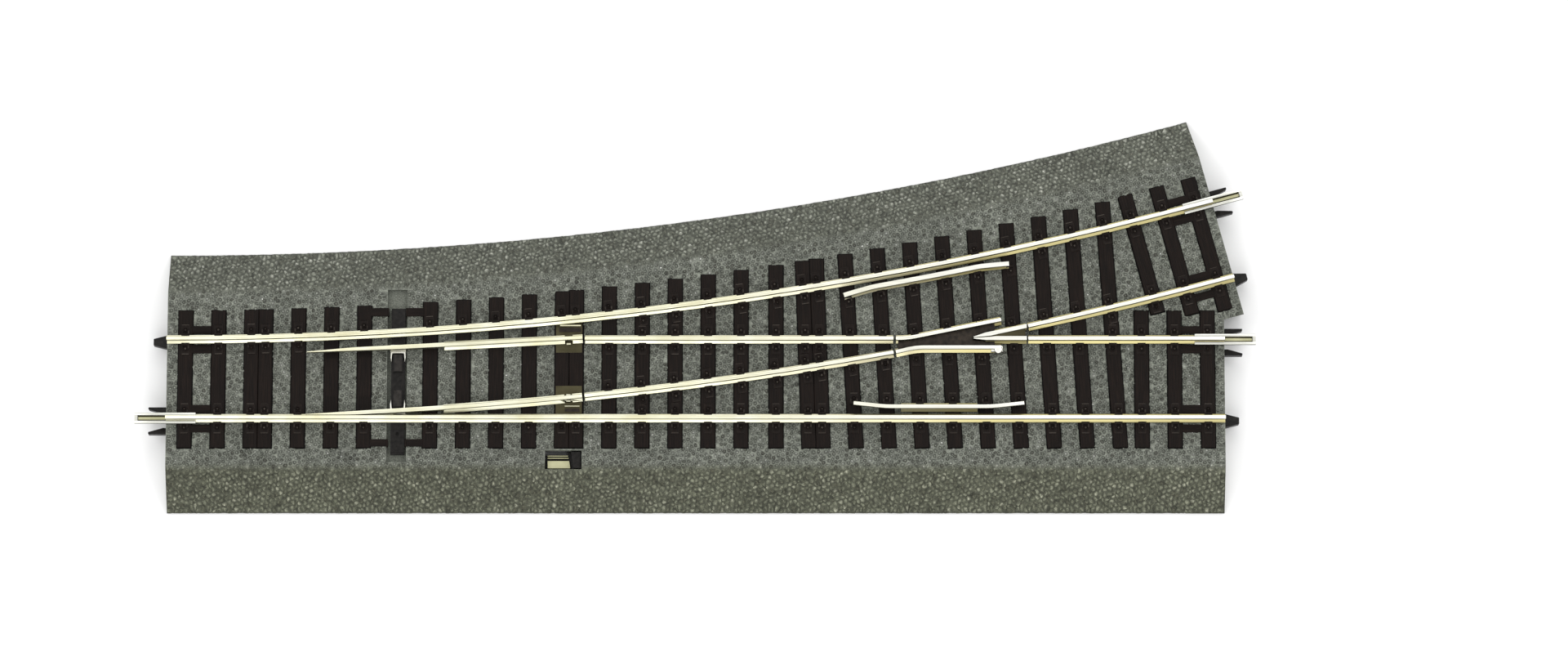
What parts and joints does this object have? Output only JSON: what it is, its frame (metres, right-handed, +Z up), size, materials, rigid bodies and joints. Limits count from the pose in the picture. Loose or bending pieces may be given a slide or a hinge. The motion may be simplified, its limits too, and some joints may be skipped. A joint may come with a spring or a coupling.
{
  "type": "model railway turnout",
  "caption": "Left-hand H0 model railway turnout on a ballast bed, 15 degree branch, with hinged point blades on a sliding tie bar and a hand slider.",
  "frame": {"origin": "middle of the whole part's box, on the surface that the bed stands on", "axes": "+X along the straight route from the toe to the frog end, +Y towards the branch side, +Z up"},
  "size_m": [0.2436, 0.0868, 0.0089],
  "materials": {
    "ballast": "moulded grey-green ballast with rounded stones, matt, with fine sparkling grains",
    "sleeper_plastic": "dark brown moulded plastic with fine wood grain, satin",
    "black_plastic": "blue-black moulded plastic, satin",
    "nickel_silver": "drawn nickel-silver rail, warm tone, polished head",
    "joiner_metal": "folded nickel-silver sheet, bright",
    "spring_metal": "bright spring sheet",
    "contact_plate": "darkened contact sheet, satin",
    "contact_strip": "plain brass strip"
  },
  "bodies": {
    "bed": {"ballast_bed": "ballast", "sleeper_base": "sleeper_plastic", "frog_floor": "sleeper_plastic", "straight_stock_rail": "nickel_silver", "curved_stock_rail": "nickel_silver", "straight_closure_rail": "nickel_silver", "curved_closure_rail": "nickel_silver", "left_wing_rail": "nickel_silver", "right_wing_rail": "nickel_silver", "frog_nose": "nickel_silver", "straight_exit_rail": "nickel_silver", "branch_exit_rail": "nickel_silver", "left_check_rail": "nickel_silver", "right_check_rail": "nickel_silver", "left_heel_plate": "contact_plate", "right_heel_plate": "contact_plate", "left_jumper_strip": "contact_strip", "right_jumper_strip": "contact_strip", "toe_joiner": "joiner_metal", "straight_end_joiner": "joiner_metal", "branch_end_joiner": "joiner_metal", "toe_coupler": "black_plastic", "straight_end_coupler": "black_plastic", "branch_end_coupler": "black_plastic"},
    "tie_bar": {"tie_bar": "black_plastic"},
    "hand_slider": {"hand_slider": "black_plastic"},
    "right_blade": {"right_point_blade": "nickel_silver", "right_blade_clip": "spring_metal"},
    "left_blade": {"left_point_blade": "nickel_silver", "left_blade_clip": "spring_metal"}
  },
  "joints": [
    {"name": "tie_bar_slide", "type": "slide", "parent": "bed", "child": "tie_bar", "axis": [0, 1, 0], "range_m": [0, 0.002]},
    {"name": "hand_slider_slide", "type": "slide", "parent": "bed", "child": "hand_slider", "axis": [-1, 0, 0], "range_m": [0, 0.0044]},
    {"name": "left_blade_hinge", "type": "hinge", "parent": "bed", "child": "left_blade", "pos_m": [-0.0276, -0.00623, 0.0078], "axis": [0, 0, 1], "range_deg": [-3.1, 0]},
    {"name": "right_blade_hinge", "type": "hinge", "parent": "bed", "child": "right_blade", "pos_m": [-0.0276, -0.01925, 0.0078], "axis": [0, 0, 1], "range_deg": [-3.1, 0]}
  ],
  "couplings": [
    {"joint": "hand_slider_slide", "follows": "tie_bar_slide", "ratio": 2.2},
    {"joint": "left_blade_hinge", "follows": "tie_bar_slide", "rad_per_m": -26.93},
    {"joint": "right_blade_hinge", "follows": "tie_bar_slide", "rad_per_m": -26.93}
  ]
}
